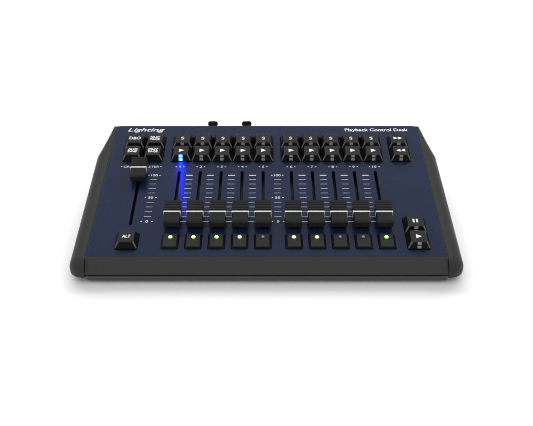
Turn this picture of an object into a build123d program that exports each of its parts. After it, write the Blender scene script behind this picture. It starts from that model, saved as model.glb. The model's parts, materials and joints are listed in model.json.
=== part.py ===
from build123d import *

import os
from math import cos, radians, sin, sqrt

# A compact lighting control desk. A folded steel cover slopes up and back between two
# moulded cheeks and carries eleven faders, twenty-nine keycaps and ten flash buttons.
#
# The frame: +X is the operator's right, +Y is away from the operator, +Z is up. The origin
# is on the table under the middle of the desk's outer box. Lengths are in millimetres.
#
# Most pieces are laid out on the deck, the sloping plane of the cover's outer face. Its own
# x is across the desk, its y is the distance up the slope from the front edge, and its z is
# the height above the cover. Depths below the cover are given as positive numbers.

# The cover's slope and outline
tilt = radians(8)
deck_front_height = 19.0
panel_half_width = 146.1
panel_length = 183.6
cover_gauge = 1.5
cover_bend = 2.0
bevel_run = 11.0
bevel_drop = 8.9
rear_flange_depth = 41.0
corner_relief = 3.0
cover_flange_x = 142.6
cover_flange_depth = 13.0
cover_flange_margin = 8.0

# The bottom tray
tray_gauge = 1.2
tray_bend = 1.8
tray_half_width = 144.1
tray_height = 3.0
lip_front = 11.5
lip_top_depth = 10.4
lip_half_width = panel_half_width
lip_rear = 6.0
lip_corner = 3.0
tray_rear = 181.9
rear_upstand_depth = 32.0

# The cheeks
seam = 0.3
cheek_inner = panel_half_width + seam
cheek_flat = 2.1
cheek_reach = 11.5
cheek_roll = 10.0
cheek_corner_y = 0.5
taper_start = 140.0
cheek_end = 181.6
end_flat = 1.0
end_reach = 3.6
cheek_base_height = 5.3
cheek_block_depth = 46.0
cheek_lining_x = tray_half_width + 0.2
cheek_lining_margin = 8.0
cheek_wall = 5.0
pocket_depth = 7.0
pocket_reach = 12.1
pocket_margin = 6.0

# The control layout on the deck
key_pitch = 19.05
left_bank_x = -79.2
right_bank_x = 22.6
bank_columns = 5
left_block_x = -124.2
transport_x = 124.3
alt_x = -114.65
upper_row = 153.55
lower_row = upper_row - key_pitch
front_row = 18.1
second_row = front_row + key_pitch
flash_row = 17.9
fader_zero = 44.0
fader_travel = 60.0
slot_length = 73.2
slot_width = 2.75
slot_middle = fader_zero + fader_travel / 2 + 0.5
opening_corner = 0.8

# Keycaps, and the switches under them
cap_base = 18.2
cap_rest = 0.7
cap_top = 6.4
crown_width = 13.0
crown_length = 13.7
crown_shift = 0.3
cap_corner = 1.2
cap_wall = 1.5
cap_edge = 0.4
key_stem_radius = 2.8
key_stem_end = 5.2
switch_size = 14.0
switch_corner = 1.0
switch_top = 3.0
switch_floor = 1.2
stem_clearance = 0.5
root_overlap = 0.4

# Flash buttons
flash_width = 13.7
flash_length = 17.2
flash_shoulder = 0.4
flash_height = 2.2
flash_top_width = 10.4
flash_top_length = 14.9
flash_corner = 0.6
flash_clearance = 0.35
flash_skirt_depth = 1.9
flash_flange_reach = 1.1
flash_flange_gauge = 1.0
flash_stem_radius = 2.0
flash_stem_end = 7.1
tact_size = 6.2
tact_top = 8.3

# Faders
knob_width = 13.6
knob_half_length = 11.0
knob_under = 2.8
knob_nose_radius = 2.7
knob_nose_top = 9.6
saddle_radius = 41.1
knob_back_edge = 0.8
insert_width = 15.0
insert_length = 1.7
insert_foot = 3.9
insert_proud = 0.1
rib_start = 1.8
rib_pitch = 2.25
rib_groove = 0.5
rib_depth = 0.45
rib_count = 4
lever_width = 1.2
lever_length = 8.0
lever_end = 7.0
lever_root = 0.5
lever_gap = 1.0
fader_body_width = 9.4
fader_body_length = 88.0
fader_body_top = 3.0

# The gap left between neighbouring solids that touch in the real desk
contact_gap = 0.05

# The control board
board_half_width = 138.0
board_start = 6.0
board_end = 163.0
board_top = 10.55
board_gauge = 1.6
stud_radius = 2.5
stud_hole_end = 1.0
stud_places = [(-96, 18), (9.65, 18), (111.5, 18), (-130, 75), (9.65, 75), (118, 75),
               (-92.3, 144), (9.65, 144), (111.5, 144)]

# Rear sockets and their latches
outlet_x = [-53.1, -19.6]
outlet_depth = 18.0
outlet_flange = (26.0, 31.0)
outlet_flange_corner = 3.0
outlet_flange_gauge = 2.0
outlet_screw_places = [(-9.5, -12.0), (9.5, 12.0)]
outlet_body_radius = 11.8
outlet_body_length = 18.0
outlet_floor = 3.0
outlet_bore_radius = 9.65
insert_radius = 7.8
pin_circle = 4.6
pin_radius = 1.2
pin_depth = 10.0
latch_reach = 13.0
latch_top = 4.0
latch_gauge = 2.5
latch_neck = 6.8
latch_width = 9.3
latch_corner = 1.8
latch_flare = 1.2
latch_shoulder = 4.5
latch_root = 10.0
latch_travel = 1.5
latch_gap = 0.5
usb_x = 40.0
usb_depth = 15.0
usb_size = (12.0, 11.0)
usb_opening = (8.5, 7.8)
usb_body_length = 16.0
usb_bore = 9.0
usb_tongue = (5.6, 3.2)
lock_x = 80.0
lock_slot = (7.0, 3.0)
socket_board_depth = 22.0
socket_board_width = 17.0
socket_board_margin = 15.0

# Fasteners and feet
screw_radius = 1.4
screw_hole_radius = 1.6
shank_root = 0.2
head_radius = 2.8
head_height = 1.6
side_screw_rows = [22.0, 90.0, 160.0]
side_screw_depth = 7.0
side_screw_length = 9.0
rear_screw_x = [-128.0, -80.0, 80.0, 128.0]
rear_screw_depth = 36.5
rear_screw_length = 6.0
outlet_screw_length = 7.0
board_screw_length = 7.0
foot_radius = 6.5
foot_edge = 0.6
foot_inset_x = 22.0
foot_inset_y = 20.0

# The deck is placed so that the desk's box is centred on the origin, from the tray's lip
# to the tips of the latches.
front_most = -lip_front * cos(tilt) + lip_top_depth * sin(tilt)
rear_most = (panel_length + latch_reach) * cos(tilt) + (latch_top + latch_gauge) * sin(tilt)
deck_front_y = -(front_most + rear_most) / 2
up_slope = Vector(0, cos(tilt), sin(tilt))
deck = Plane(origin=(0, deck_front_y, deck_front_height), x_dir=(1, 0, 0),
             z_dir=(0, -sin(tilt), cos(tilt)))
# The rear face: x across the desk, y down it, z straight out of the back.
rear_face = Plane(origin=deck.from_local_coords((0, panel_length, 0)), x_dir=(1, 0, 0),
                  z_dir=up_slope)

left_bank = [left_bank_x + key_pitch * i for i in range(bank_columns)]
right_bank = [right_bank_x + key_pitch * i for i in range(bank_columns)]
playback_x = left_bank + right_bank
fader_x = [alt_x] + playback_x
key_places = {
    "key_blackout": (left_block_x, upper_row),
    "key_next": (left_block_x + key_pitch, upper_row),
    "key_add": (left_block_x, lower_row),
    "key_prev": (left_block_x + key_pitch, lower_row),
    "key_forward": (transport_x, upper_row),
    "key_back": (transport_x, lower_row),
    "key_pause": (transport_x, second_row),
    "key_go": (transport_x, front_row),
    "key_alt": (alt_x, front_row),
}
for number, x in enumerate(playback_x, start=1):
    key_places[f"select_key_{number}"] = (x, upper_row)
    key_places[f"go_key_{number}"] = (x, lower_row)

os.makedirs("parts", exist_ok=True)


def save(name, piece):
    """Labels a finished piece and writes it as a part file."""
    piece.label = name
    export_step(piece, f"parts/{name}.step")


def across(x):
    """A plane across the desk at x: its own x runs up the slope and its y is height."""
    return Plane(origin=deck.from_local_coords((x, 0, 0)), x_dir=up_slope, z_dir=(1, 0, 0))


def facing_front(x, up):
    """A plane square to the slope: its own x is outward, y is height, z is to the front."""
    return Plane(origin=deck.from_local_coords((x, up, 0)), x_dir=(1, 0, 0), z_dir=-up_slope)


def tray_level(up, height=tray_height):
    """The height above the deck, always negative, of a level plane at a distance up the slope."""
    return -(deck_front_height - height + up * sin(tilt)) / cos(tilt)


# Top cover: bevel, panel and rear flange folded from one sheet
with BuildPart() as top_cover:
    with BuildSketch(across(-panel_half_width)):
        with BuildLine():
            FilletPolyline((-bevel_run, -bevel_drop), (0, 0), (panel_length, 0),
                           (panel_length, -rear_flange_depth), radius=cover_bend)
            offset(amount=cover_gauge, side=Side.RIGHT)
        make_face()
    extrude(amount=2 * panel_half_width)
    # A side flange under each edge, welded to the panel
    with BuildSketch(deck.offset(-cover_gauge / 2)):
        with Locations((cover_flange_x - tray_gauge / 2, panel_length / 2),
                       (-cover_flange_x + tray_gauge / 2, panel_length / 2)):
            Rectangle(tray_gauge, panel_length - 2 * cover_flange_margin)
    extrude(amount=-(cover_flange_depth - cover_gauge / 2))
    # Studs that carry the control board
    with BuildSketch(deck.offset(-cover_gauge / 2)):
        with Locations(*stud_places):
            Circle(stud_radius)
    extrude(amount=-(board_top - contact_gap - cover_gauge / 2))
    with BuildSketch(deck.offset(-board_top)):
        with Locations(*stud_places):
            Circle(screw_hole_radius)
    extrude(amount=board_top - cover_gauge - stud_hole_end, mode=Mode.SUBTRACT)
    # Openings for faders, keys and flash buttons
    with BuildSketch(deck.offset(1)):
        with Locations(*[(x, slot_middle) for x in fader_x]):
            SlotOverall(slot_length, slot_width, rotation=90)
        with Locations(*[(x, flash_row) for x in playback_x]):
            RectangleRounded(flash_width + 2 * flash_clearance,
                             flash_length + 2 * flash_clearance, flash_corner)
        middle_row = (upper_row + lower_row) / 2
        with Locations((left_block_x + key_pitch / 2, middle_row)):
            RectangleRounded(2 * key_pitch, 2 * key_pitch, opening_corner)
        with Locations((left_bank[2], middle_row), (right_bank[2], middle_row)):
            RectangleRounded(bank_columns * key_pitch, 2 * key_pitch, opening_corner)
        with Locations((transport_x, middle_row), (transport_x, (front_row + second_row) / 2)):
            RectangleRounded(key_pitch, 2 * key_pitch, opening_corner)
        with Locations((alt_x, front_row)):
            RectangleRounded(key_pitch, key_pitch, opening_corner)
    extrude(amount=-(cover_gauge + 2), mode=Mode.SUBTRACT)
    # Openings in the rear flange, and a relief at each end of its bend
    with BuildSketch(rear_face.offset(1)):
        with Locations(*[(x, outlet_depth) for x in outlet_x]):
            Circle(outlet_body_radius + latch_gap)
            with Locations(*outlet_screw_places):
                Circle(screw_hole_radius)
        with Locations(*[(x, latch_top - latch_gap) for x in outlet_x]):
            Rectangle(latch_neck + 2 * latch_gap, outlet_depth - latch_top,
                      align=(Align.CENTER, Align.MIN))
        with Locations((usb_x, usb_depth)):
            Rectangle(usb_size[0] + latch_gap, usb_size[1] + latch_gap)
        with Locations((lock_x, usb_depth)):
            SlotOverall(*lock_slot)
        with Locations(*[(x, rear_screw_depth) for x in rear_screw_x]):
            Circle(screw_hole_radius)
        with Locations((panel_half_width, 0), (-panel_half_width, 0)):
            Rectangle(2 * corner_relief, 3 * rear_flange_depth)
    extrude(amount=-2 * cover_gauge, mode=Mode.SUBTRACT)
    # Side screws
    with BuildSketch(across(-panel_half_width)):
        with Locations(*[(up, -side_screw_depth) for up in side_screw_rows]):
            Circle(screw_hole_radius)
    extrude(amount=2 * panel_half_width, mode=Mode.SUBTRACT)
save("top_cover", top_cover.part)


# Bottom tray: base and rear upstand folded from one sheet, and a lip pressed up along the
# front. The lip turns both front corners and runs back a little way inside the cheeks.
def lip_plan(inset):
    """The lip's plan on the deck, drawn in by the inset, with two round front corners."""
    with BuildSketch() as plan:
        with Locations((0, lip_rear)):
            Rectangle(2 * (lip_half_width - inset), lip_front - inset + lip_rear,
                      align=(Align.CENTER, Align.MAX))
        fillet(plan.vertices().sort_by(Axis.Y)[0:2], radius=lip_corner - inset)
    return plan.sketch


with BuildPart() as bottom_tray:
    with BuildSketch(deck):
        add(lip_plan(0))
    extrude(amount=-rear_upstand_depth)
    with BuildSketch(Plane.XY.offset(tray_height)):
        Rectangle(3 * panel_half_width, 3 * panel_length)
    extrude(amount=tray_gauge, mode=Mode.INTERSECT)
    with BuildSketch(deck.offset(-lip_top_depth)):
        add(lip_plan(0))
        add(lip_plan(tray_gauge), mode=Mode.SUBTRACT)
    extrude(amount=-rear_upstand_depth)
    with BuildSketch(Plane.XY.offset(tray_height)):
        Rectangle(3 * panel_half_width, 3 * panel_length)
    extrude(amount=-2 * rear_upstand_depth, mode=Mode.SUBTRACT)
    with BuildSketch(across(-tray_half_width)):
        with BuildLine():
            FilletPolyline((0, tray_level(0)), (tray_rear, tray_level(tray_rear)),
                           (tray_rear, -rear_upstand_depth), radius=tray_bend)
            offset(amount=tray_gauge, side=Side.LEFT)
        make_face()
    extrude(amount=2 * tray_half_width)
    wall_head = cover_gauge + seam
    wall_slant = cover_gauge - 0.1
    wall_front = -lip_front + tray_gauge / 2
    wall_rear = tray_rear - tray_bend
    for wall_x in (-tray_half_width, tray_half_width - tray_gauge):
        with BuildSketch(across(wall_x)):
            with BuildLine():
                Polyline((wall_front, -lip_top_depth), (-bevel_run + wall_slant, -lip_top_depth),
                         (wall_slant, -wall_head), (wall_rear, -wall_head),
                         (wall_rear, tray_level(wall_rear) + tray_gauge / 2),
                         (wall_front, tray_level(wall_front) + tray_gauge / 2), close=True)
            make_face()
        extrude(amount=tray_gauge)
    with BuildSketch(across(-panel_half_width)):
        with Locations(*[(up, -side_screw_depth) for up in side_screw_rows]):
            Circle(screw_hole_radius)
    extrude(amount=2 * panel_half_width, mode=Mode.SUBTRACT)
    with BuildSketch(rear_face):
        with Locations(*[(x, rear_screw_depth) for x in rear_screw_x]):
            Circle(screw_hole_radius)
    extrude(amount=-8, mode=Mode.SUBTRACT)
save("bottom_tray", bottom_tray.part)


# Cheeks: a rounded bolster along each side, turned round the front corner and tapered
# in plan towards the rear
def cheek_outline(place, flat, reach):
    """The cheek's section: x outward from the seam, y up from the deck."""
    with BuildSketch(place) as outline:
        with BuildLine():
            Line((0, 0), (flat, 0))
            EllipticalCenterArc((flat, -cheek_roll), reach, cheek_roll, arc_size=90)
            Polyline((flat + reach, -cheek_roll), (flat + reach, -cheek_block_depth),
                     (0, -cheek_block_depth), (0, 0))
        make_face()
    return outline.sketch


def quarter_outline(place):
    """The rolled part of the section alone, which the front corner sweeps round."""
    with BuildSketch(place) as outline:
        with BuildLine():
            EllipticalCenterArc((0, -cheek_roll), cheek_reach, cheek_roll, arc_size=90)
            Polyline((cheek_reach, -cheek_roll), (cheek_reach, -cheek_block_depth),
                     (0, -cheek_block_depth), (0, 0))
        make_face()
    return outline.sketch


corner_x = cheek_inner + cheek_flat
corner_point = deck.from_local_coords((corner_x, cheek_corner_y, 0))
nose_plane = Plane(origin=corner_point, x_dir=-up_slope, z_dir=(-1, 0, 0))
with BuildPart() as right_cheek:
    extrude(cheek_outline(facing_front(cheek_inner, taper_start), cheek_flat, cheek_reach),
            amount=taper_start - cheek_corner_y)
    revolve(quarter_outline(facing_front(corner_x, cheek_corner_y)),
            axis=Axis(corner_point, -deck.z_dir), revolution_arc=90)
    extrude(quarter_outline(nose_plane), amount=cheek_flat)
    loft([cheek_outline(facing_front(cheek_inner, taper_start), cheek_flat, cheek_reach).face(),
          cheek_outline(facing_front(cheek_inner, cheek_end), end_flat, end_reach).face()])
    # The inner face steps in below the cover to meet the tray
    with BuildSketch(deck.offset(-cover_gauge - seam)):
        with Locations(((cheek_lining_x + cheek_inner) / 2, panel_length / 2)):
            Rectangle(cheek_inner - cheek_lining_x, panel_length - 2 * cheek_lining_margin)
    extrude(amount=-cheek_block_depth)
    with BuildSketch(Plane.XY.offset(cheek_base_height)):
        Rectangle(3 * panel_half_width, 3 * panel_length)
    extrude(amount=-cheek_block_depth, mode=Mode.SUBTRACT)
    # Pockets between the screw bosses
    for near, far in ((side_screw_rows[0] + pocket_margin, side_screw_rows[1] - pocket_margin),
                      (side_screw_rows[1] + pocket_margin, taper_start)):
        with BuildSketch(deck.offset(-cheek_wall)):
            with Locations((cheek_lining_x - 1, near)):
                Rectangle(pocket_reach, far - near, align=(Align.MIN, Align.MIN))
        extrude(amount=-pocket_depth, mode=Mode.SUBTRACT)
    with BuildSketch(across(cheek_lining_x - 1)):
        with Locations(*[(up, -side_screw_depth) for up in side_screw_rows]):
            Circle(screw_radius + contact_gap)
    extrude(amount=side_screw_length - 1, mode=Mode.SUBTRACT)
save("right_cheek", right_cheek.part)

with BuildPart() as left_cheek:
    mirror(right_cheek.part, about=Plane.YZ)
save("left_cheek", left_cheek.part)


# Control board: the board, a switch under every key and flash button, and the fader bodies
with BuildPart() as control_board:
    with BuildSketch(deck.offset(-board_top)):
        with Locations((0, (board_start + board_end) / 2)):
            Rectangle(2 * board_half_width, board_end - board_start)
        with Locations(*stud_places):
            Circle(screw_hole_radius, mode=Mode.SUBTRACT)
    extrude(amount=-board_gauge)
    with BuildSketch(deck.offset(-board_top + contact_gap)):
        with Locations(*key_places.values()):
            RectangleRounded(switch_size, switch_size, switch_corner)
    extrude(amount=board_top - contact_gap - switch_top)
    with BuildSketch(deck.offset(-switch_top)):
        with Locations(*key_places.values()):
            Circle(key_stem_radius + stem_clearance)
    extrude(amount=-(board_top - switch_top - switch_floor), mode=Mode.SUBTRACT)
    with BuildSketch(deck.offset(-board_top + contact_gap)):
        with Locations(*[(x, flash_row) for x in playback_x]):
            Rectangle(tact_size, tact_size)
    extrude(amount=board_top - contact_gap - tact_top)
    with BuildSketch(deck.offset(-board_top + contact_gap)):
        with Locations(*[(x, slot_middle) for x in fader_x]):
            Rectangle(fader_body_width, fader_body_length)
    extrude(amount=board_top - contact_gap - fader_body_top)
    with BuildSketch(deck.offset(-fader_body_top)):
        with Locations(*[(x, slot_middle) for x in fader_x]):
            Rectangle(slot_width, slot_length)
    extrude(amount=-(lever_end + lever_gap - fader_body_top), mode=Mode.SUBTRACT)
save("control_board", control_board.part)


# Rear sockets: two five-pin outlets and a data inlet, with the small board behind them. Each
# outlet is a flange, a cup and an insert, so that a plug's shell can pass round the insert.
with BuildPart() as rear_sockets:
    with BuildSketch(rear_face.offset(contact_gap)):
        with Locations(*[(x, outlet_depth) for x in outlet_x]):
            RectangleRounded(*outlet_flange, outlet_flange_corner)
            Circle(outlet_bore_radius, mode=Mode.SUBTRACT)
            with Locations(*outlet_screw_places):
                Circle(screw_hole_radius, mode=Mode.SUBTRACT)
    extrude(amount=outlet_flange_gauge)
    with BuildSketch(rear_face):
        with Locations(*[(x, outlet_depth) for x in outlet_x]):
            Circle(outlet_body_radius)
    extrude(amount=-outlet_body_length)
    outlet_bore = outlet_body_length - outlet_floor
    with BuildSketch(rear_face):
        with Locations(*[(x, outlet_depth) for x in outlet_x]):
            Circle(outlet_bore_radius)
    extrude(amount=-outlet_bore, mode=Mode.SUBTRACT)
    with BuildSketch(rear_face.offset(contact_gap + outlet_flange_gauge)):
        with Locations(*[(x, latch_top - latch_gap) for x in outlet_x]):
            Rectangle(latch_neck + 2 * latch_gap, latch_gauge + latch_travel + 2 * latch_gap,
                      align=(Align.CENTER, Align.MIN))
    extrude(amount=-outlet_bore, mode=Mode.SUBTRACT)
    with BuildSketch(rear_face):
        with Locations(*[(x, outlet_depth) for x in outlet_x]):
            Circle(insert_radius)
    extrude(amount=-(outlet_bore - contact_gap))
    with BuildSketch(rear_face.offset(outlet_flange_gauge)):
        with Locations(*[(x, outlet_depth) for x in outlet_x]):
            with PolarLocations(pin_circle, 5, start_angle=54):
                Circle(pin_radius)
    extrude(amount=-(pin_depth + outlet_flange_gauge), mode=Mode.SUBTRACT)
    with BuildSketch(rear_face.offset(latch_gap)):
        with Locations((usb_x, usb_depth)):
            RectangleRounded(*usb_size, latch_gap)
            Rectangle(*usb_opening, mode=Mode.SUBTRACT)
    extrude(amount=-usb_body_length)
    with BuildSketch(rear_face.offset(-usb_bore)):
        with Locations((usb_x, usb_depth)):
            Rectangle(usb_opening[0] + latch_gap, usb_opening[1] + latch_gap)
    extrude(amount=usb_bore - usb_body_length)
    with BuildSketch(rear_face.offset(-usb_bore)):
        with Locations((usb_x, usb_depth)):
            Rectangle(*usb_tongue)
    extrude(amount=usb_bore - latch_gap)
    with BuildSketch(rear_face.offset(-outlet_body_length - contact_gap)):
        with Locations(((outlet_x[0] + usb_x) / 2, socket_board_depth)):
            Rectangle(usb_x - outlet_x[0] + 2 * socket_board_margin, socket_board_width)
    extrude(amount=-board_gauge)
save("rear_sockets", rear_sockets.part)


# Outlet latches: a push tab over each five-pin outlet
for number, x in enumerate(outlet_x, start=1):
    with BuildPart() as outlet_latch:
        with BuildSketch(deck.offset(-latch_top)):
            with BuildLine():
                neck = latch_neck / 2
                wide = latch_width / 2
                tip = panel_length + latch_reach
                root = panel_length - latch_root
                shoulder = panel_length + latch_shoulder
                flare = shoulder + latch_flare
                Polyline((x - neck, root), (x - neck, shoulder), (x - wide, flare),
                         (x - wide, tip - latch_corner), (x - wide + latch_corner, tip),
                         (x + wide - latch_corner, tip), (x + wide, tip - latch_corner),
                         (x + wide, flare), (x + neck, shoulder), (x + neck, root), close=True)
            make_face()
        extrude(amount=-latch_gauge)
    save(f"outlet_latch_{number}", outlet_latch.part)


# Fader knob and lever, designed at the middle of its own slot. The knob has a round nose, a
# saddle that rises to a high back edge, ribs behind its middle, and a marker insert that
# stands a little proud on top and on both flanks.
knob_nose_end = knob_nose_radius - knob_half_length
knob_back = knob_half_length - knob_back_edge


def saddle_height(along):
    """The height of the knob's saddle at a distance up the slope from its middle."""
    return knob_nose_top + saddle_radius - sqrt(saddle_radius ** 2 - (along - knob_nose_end) ** 2)


with BuildPart() as fader_knob:
    with BuildSketch(Plane.YZ):
        with BuildLine():
            Line((-knob_half_length, knob_under),
                 (-knob_half_length, knob_nose_top - knob_nose_radius))
            RadiusArc((-knob_half_length, knob_nose_top - knob_nose_radius),
                      (knob_nose_end, knob_nose_top), knob_nose_radius)
            ThreePointArc((knob_nose_end, knob_nose_top), (0, saddle_height(0)),
                          (knob_back, saddle_height(knob_back)))
            Polyline((knob_back, saddle_height(knob_back)),
                     (knob_half_length, saddle_height(knob_back) - knob_back_edge),
                     (knob_half_length, knob_under), (-knob_half_length, knob_under))
        make_face()
    extrude(amount=knob_width / 2, both=True)
    for along in [rib_start + rib_pitch * i for i in range(rib_count)]:
        with Locations((0, along, saddle_height(along) - rib_depth)):
            Box(2 * knob_width, rib_groove, knob_nose_radius,
                align=(Align.CENTER, Align.CENTER, Align.MIN), mode=Mode.SUBTRACT)
    with Locations((0, 0, insert_foot)):
        Box(insert_width, insert_length, saddle_height(0) + insert_proud - insert_foot,
            align=(Align.CENTER, Align.CENTER, Align.MIN))
    with BuildSketch(Plane.XY.offset(knob_under + lever_root)):
        Rectangle(lever_width, lever_length)
    extrude(amount=-(lever_end + knob_under + lever_root))

for number, x in enumerate(fader_x):
    rest = fader_zero + fader_travel if number == 0 else fader_zero
    with BuildPart(deck) as fader:
        with Locations((x, rest, 0)):
            add(fader_knob.part)
    save("master_fader" if number == 0 else f"fader_{number}", fader.part)


# Keycap: a hollow tapered cap with a stem that works the switch
with BuildPart() as keycap:
    with BuildSketch(Plane.XY.offset(cap_rest)):
        RectangleRounded(cap_base, cap_base, cap_corner)
    with BuildSketch(Plane.XY.offset(cap_top)):
        with Locations((0, crown_shift)):
            RectangleRounded(crown_width, crown_length, cap_corner)
    loft()
    chamfer(keycap.faces().sort_by(Axis.Z)[-1].edges(), cap_edge)
    with BuildSketch(Plane.XY.offset(cap_rest)):
        RectangleRounded(cap_base - 2 * cap_wall, cap_base - 2 * cap_wall, cap_corner)
    with BuildSketch(Plane.XY.offset(cap_top - cap_wall)):
        with Locations((0, crown_shift)):
            RectangleRounded(crown_width - cap_wall, crown_length - cap_wall, cap_corner)
    loft(mode=Mode.SUBTRACT)
    with BuildSketch(Plane.XY.offset(cap_top - cap_wall + root_overlap)):
        Circle(key_stem_radius)
    extrude(amount=-(cap_top - cap_wall + root_overlap + key_stem_end))

for name, (x, up) in key_places.items():
    with BuildPart(deck) as key:
        with Locations((x, up, 0)):
            add(keycap.part)
    save(name, key.part)


# Flash button: a low cap with sloping sides, held under the cover by its flange
with BuildPart() as flash_cap:
    with BuildSketch(Plane.XY.offset(flash_shoulder)):
        RectangleRounded(flash_width, flash_length, flash_corner)
    extrude(amount=-(flash_shoulder + flash_skirt_depth + flash_flange_gauge))
    with BuildSketch(Plane.XY.offset(flash_shoulder)):
        RectangleRounded(flash_width, flash_length, flash_corner)
    with BuildSketch(Plane.XY.offset(flash_height)):
        RectangleRounded(flash_top_width, flash_top_length, flash_corner)
    loft()
    with BuildSketch(Plane.XY.offset(-flash_skirt_depth)):
        Rectangle(flash_width + 2 * flash_flange_reach, flash_length + 2 * flash_flange_reach)
    extrude(amount=-flash_flange_gauge)
    with BuildSketch(Plane.XY.offset(-flash_skirt_depth - flash_flange_gauge)):
        Rectangle(flash_width - 2 * cap_wall, flash_length - 2 * cap_wall)
    extrude(amount=flash_height + flash_skirt_depth + flash_flange_gauge - cap_wall,
            mode=Mode.SUBTRACT)
    with BuildSketch(Plane.XY.offset(flash_height - cap_wall + root_overlap)):
        Circle(flash_stem_radius)
    extrude(amount=-(flash_height - cap_wall + root_overlap + flash_stem_end))

for number, x in enumerate(playback_x, start=1):
    with BuildPart(deck) as flash:
        with Locations((x, flash_row, 0)):
            add(flash_cap.part)
    save(f"flash_button_{number}", flash.part)


# Screws: pan heads with plain shanks, all in one node
def rear_screws(places, seat, length):
    """Screws driven into the rear face; seat is how far out of it their heads bear."""
    with BuildPart() as group:
        with BuildSketch(rear_face.offset(seat)):
            with Locations(*places):
                Circle(head_radius)
        extrude(amount=head_height)
        with BuildSketch(rear_face.offset(seat + shank_root)):
            with Locations(*places):
                Circle(screw_radius)
        extrude(amount=-(length + shank_root))
    return group.part


with BuildPart() as screws:
    add(rear_screws([(x, rear_screw_depth) for x in rear_screw_x], contact_gap,
                    rear_screw_length))
    outlet_screws = [(x + dx, outlet_depth + dy) for x in outlet_x
                     for dx, dy in outlet_screw_places]
    add(rear_screws(outlet_screws, outlet_flange_gauge + 2 * contact_gap, outlet_screw_length))
    for side in (-1, 1):
        head_x = side * (cover_flange_x - tray_gauge - contact_gap)
        with BuildSketch(across(head_x)):
            with Locations(*[(up, -side_screw_depth) for up in side_screw_rows]):
                Circle(head_radius)
        extrude(amount=-side * head_height)
        with BuildSketch(across(head_x - side * shank_root)):
            with Locations(*[(up, -side_screw_depth) for up in side_screw_rows]):
                Circle(screw_radius)
        extrude(amount=side * side_screw_length)
    with BuildSketch(deck.offset(-board_top - board_gauge - contact_gap)):
        with Locations(*stud_places):
            Circle(head_radius)
    extrude(amount=-head_height)
    with BuildSketch(deck.offset(-board_top - board_gauge - shank_root)):
        with Locations(*stud_places):
            Circle(screw_radius)
    extrude(amount=board_screw_length)
save("screws", screws.part)


# Rubber feet under the tray's corners
tray_front_y = deck_front_y - lip_front * cos(tilt)
tray_rear_y = deck_front_y + tray_rear * cos(tilt)
with BuildPart() as rubber_feet:
    with BuildSketch():
        for side in (-1, 1):
            with Locations((side * (tray_half_width - foot_inset_x), tray_front_y + foot_inset_y),
                           (side * (tray_half_width - foot_inset_x), tray_rear_y - foot_inset_y)):
                Circle(foot_radius)
    extrude(amount=tray_height)
    chamfer(rubber_feet.faces().sort_by(Axis.Z)[0:4].edges(), foot_edge)
save("rubber_feet", rubber_feet.part)
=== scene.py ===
import json
import math

import bmesh
import bpy
from mathutils import Matrix, Vector


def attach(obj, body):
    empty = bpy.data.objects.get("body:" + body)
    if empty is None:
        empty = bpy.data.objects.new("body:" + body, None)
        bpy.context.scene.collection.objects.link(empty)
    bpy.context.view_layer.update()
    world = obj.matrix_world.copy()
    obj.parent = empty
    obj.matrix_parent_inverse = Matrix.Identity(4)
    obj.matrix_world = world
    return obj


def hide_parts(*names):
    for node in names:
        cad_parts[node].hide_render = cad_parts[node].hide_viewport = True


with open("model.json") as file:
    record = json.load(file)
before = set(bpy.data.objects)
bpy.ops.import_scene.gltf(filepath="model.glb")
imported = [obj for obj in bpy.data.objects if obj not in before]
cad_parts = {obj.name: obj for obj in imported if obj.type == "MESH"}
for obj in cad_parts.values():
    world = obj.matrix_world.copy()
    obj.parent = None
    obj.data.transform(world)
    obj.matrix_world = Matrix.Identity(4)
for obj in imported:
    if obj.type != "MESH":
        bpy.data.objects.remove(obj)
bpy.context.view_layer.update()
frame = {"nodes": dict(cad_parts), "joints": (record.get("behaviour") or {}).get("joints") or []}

# Deck coordinates are used throughout: x across the desk, v up the slope from the panel's
# front edge, n above the panel, all in millimetres. They come from the frame: the faders
# slide up the slope, the panel is the cover's highest face and its rear flange ends it.
MM = 0.001
PANEL_LENGTH = 183.6
FADER_COUNT = 10


def cad_vertices(node):
    return [vertex.co for vertex in frame["nodes"][node].data.vertices]


slope = next(Vector(j["axis"]) for j in frame["joints"] if j["name"] == "master_fader_slide")
slope.normalize()
normal = Vector((1, 0, 0)).cross(slope)
panel_height = max(co.dot(normal) for co in cad_vertices("top_cover"))
panel_rear = max(co.dot(slope) for co in cad_vertices("top_cover"))
deck_origin = slope * (panel_rear - PANEL_LENGTH * MM) + normal * panel_height
deck_axes = Matrix((Vector((1, 0, 0)), slope, normal)).transposed().to_4x4()
DECK = Matrix.Translation(deck_origin) @ deck_axes @ Matrix.Scale(MM, 4)


def deck_box(node):
    """Lowest and highest corner of a CAD node in deck coordinates."""
    back = DECK.inverted()
    points = [back @ co for co in cad_vertices(node)]
    low = Vector([min(p[i] for p in points) for i in range(3)])
    high = Vector([max(p[i] for p in points) for i in range(3)])
    return low, high


def centre(node):
    """A CAD node's middle on the deck, as x and v."""
    low, high = deck_box(node)
    return (low.x + high.x) / 2, (low.y + high.y) / 2


# ---------------------------------------------------------------- materials

def new_material(name):
    material = bpy.data.materials.new(name)
    material.use_nodes = True
    nodes = material.node_tree.nodes
    return material, nodes, material.node_tree.links, nodes["Principled BSDF"]


def add_noise(nodes, links, coordinates, scale, detail=3.0, rough=0.55):
    noise = nodes.new("ShaderNodeTexNoise")
    noise.inputs["Scale"].default_value = scale
    noise.inputs["Detail"].default_value = detail
    noise.inputs["Roughness"].default_value = rough
    links.new(coordinates, noise.inputs["Vector"])
    return noise.outputs["Fac"]


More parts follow.
